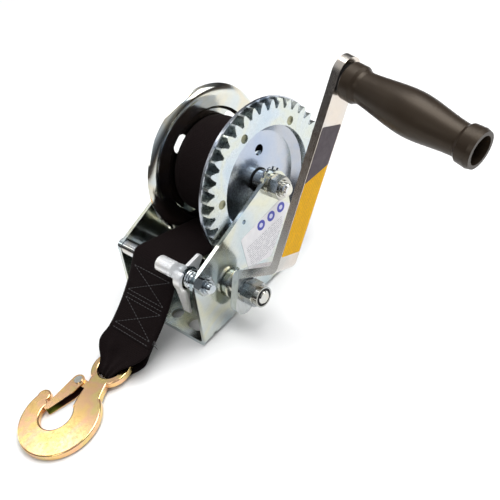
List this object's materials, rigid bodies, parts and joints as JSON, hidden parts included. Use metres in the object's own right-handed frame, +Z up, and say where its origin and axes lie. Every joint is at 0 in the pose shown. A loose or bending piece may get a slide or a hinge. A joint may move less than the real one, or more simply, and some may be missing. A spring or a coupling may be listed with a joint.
{
  "type": "hand winch",
  "caption": "Geared hand winch for a boat trailer: folded frame, strap drum with ring gear and pinion, cranked handle, pawl, and a strap ending in a latched hook.",
  "frame": {"origin": "centre of the base's underside", "axes": "+X along the drum axis towards the crank, +Y to the back, away from the strap's way out, +Z up"},
  "size_m": [0.2641, 0.307, 0.1946],
  "materials": {
    "zinc_sheet": "bright zinc plated sheet",
    "zinc_bright": "bright zinc plated",
    "zinc_dull": "dull zinc plated",
    "gear_steel": "zinc plated, machined",
    "black_steel": "blackened spring steel",
    "bush_plastic": "black nylon",
    "grip_plastic": "moulded, satin",
    "webbing": "woven polyester",
    "yellow_zinc": "yellow passivated zinc",
    "label_white": "printed vinyl",
    "label_yellow": "printed vinyl"
  },
  "bodies": {
    "frame_body": {"frame": "zinc_sheet", "drum_bolt": "zinc_bright", "drum_nut": "zinc_bright", "drum_nut_washer": "zinc_bright", "drum_axle_sleeve": "zinc_sheet", "drum_spacers": "zinc_sheet", "toothed_washer": "zinc_bright", "shaft_bushes": "zinc_sheet", "tie_bolt": "zinc_bright", "tie_nut": "zinc_bright", "strap_bar_sleeve": "zinc_bright", "pawl_washers": "zinc_bright", "pawl_spring": "zinc_bright", "plate_label": "label_white", "strap_lead": "webbing", "strap_loop": "webbing"},
    "drum": {"drum_left_flange": "zinc_bright", "drum_right_flange": "zinc_sheet", "drum_barrel": "zinc_sheet", "drum_bushes": "bush_plastic", "strap_coil": "webbing", "ring_gear": "gear_steel", "gear_rivets": "zinc_dull"},
    "crank": {"drive_shaft": "zinc_bright", "pinion_gear": "gear_steel", "ratchet_wheel": "gear_steel", "shaft_circlip": "black_steel", "crank_arm": "zinc_sheet", "crank_washer": "zinc_bright", "crank_lock_washer": "zinc_bright", "crank_nut": "zinc_bright", "crank_nut_insert": "bush_plastic", "arm_label": "label_yellow", "handle_pin": "zinc_dull", "grip_washer": "bush_plastic"},
    "handle": {"grip": "grip_plastic"},
    "pawl": {"pawl": "zinc_bright"},
    "hook": {"hook": "yellow_zinc", "latch_rivet": "zinc_bright"},
    "latch": {"latch": "yellow_zinc"}
  },
  "joints": [
    {"name": "drum_spin", "type": "hinge", "parent": "frame_body", "child": "drum", "pos_m": [0, 0.049, 0.0785], "axis": [1, 0, 0], "continuous": true},
    {"name": "pinion_spin", "type": "hinge", "parent": "frame_body", "child": "crank", "pos_m": [0, -0.0128, 0.03091], "axis": [1, 0, 0], "continuous": true},
    {"name": "grip_spin", "type": "hinge", "parent": "crank", "child": "handle", "pos_m": [0.1194, 0.05999, 0.18014], "axis": [0.9767, -0.0941, -0.193], "continuous": true},
    {"name": "pawl_pivot", "type": "hinge", "parent": "frame_body", "child": "pawl", "pos_m": [0, -0.04, 0.0545], "axis": [1, 0, 0], "range_deg": [-32, 20]},
    {"name": "hook_swing", "type": "hinge", "parent": "frame_body", "child": "hook", "pos_m": [-0.0015, -0.098, 0.00655], "axis": [1, 0, 0], "range_deg": [-60, 0]},
    {"name": "latch_pivot", "type": "hinge", "parent": "hook", "child": "latch", "pos_m": [-0.0135, -0.13277, 0.00517], "axis": [0, -0.0396, 0.9992], "range_deg": [0, 30], "stiffness_Nm_per_rad": 0.05, "springref_deg": -17.19}
  ],
  "couplings": [
    {"joint": "pinion_spin", "follows": "drum_spin", "ratio": -3.3333}
  ]
}
